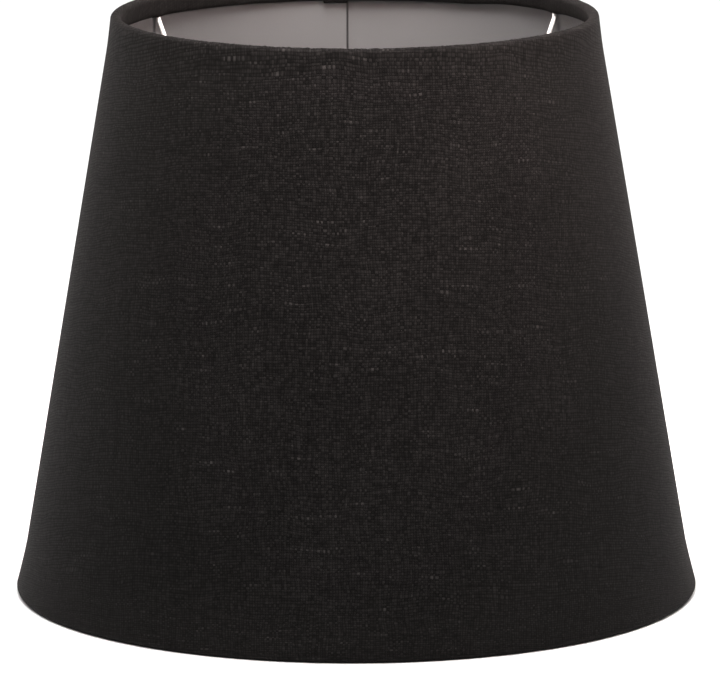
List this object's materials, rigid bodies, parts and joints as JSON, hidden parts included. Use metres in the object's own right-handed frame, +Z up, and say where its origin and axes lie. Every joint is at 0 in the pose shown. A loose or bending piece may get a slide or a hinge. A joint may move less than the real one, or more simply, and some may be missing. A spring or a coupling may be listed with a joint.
{
  "type": "lamp shade",
  "caption": "Tapered hard-back lamp shade in dark linen with rolled edges, a grey lining, a recessed wire spider and a lift-out reducer ring.",
  "frame": {"origin": "middle of the circle that the bottom edge stands on", "axes": "+Z up along the shade's axis, +X to the right and -Y to the front, with the seam at the back on +Y"},
  "size_m": [0.281, 0.2817, 0.24],
  "materials": {
    "linen": "charcoal plain-weave linen with slubs",
    "lining_sheet": "grey satin lining sheet",
    "adhesive_tape": "clear to cream adhesive tape",
    "white_wire": "white powder coat on steel wire",
    "white_steel": "white powder coat on pressed steel",
    "white_plastic": "white moulded plastic"
  },
  "bodies": {
    "shade": {"linen_cover": "linen", "lining": "lining_sheet", "seam_tape": "adhesive_tape", "top_hem_tape": "adhesive_tape", "bottom_hem_tape": "adhesive_tape", "top_ring": "white_wire", "bottom_ring": "white_wire", "arm_back_right": "white_wire", "arm_back_left": "white_wire", "arm_front": "white_wire", "fitter_ring": "white_steel"},
    "reducer": {"reducer_ring": "white_plastic"}
  },
  "joints": [
    {"name": "reducer_lift", "type": "slide", "parent": "shade", "child": "reducer", "axis": [0, 0, 1], "range_m": [0, 0.08]}
  ]
}
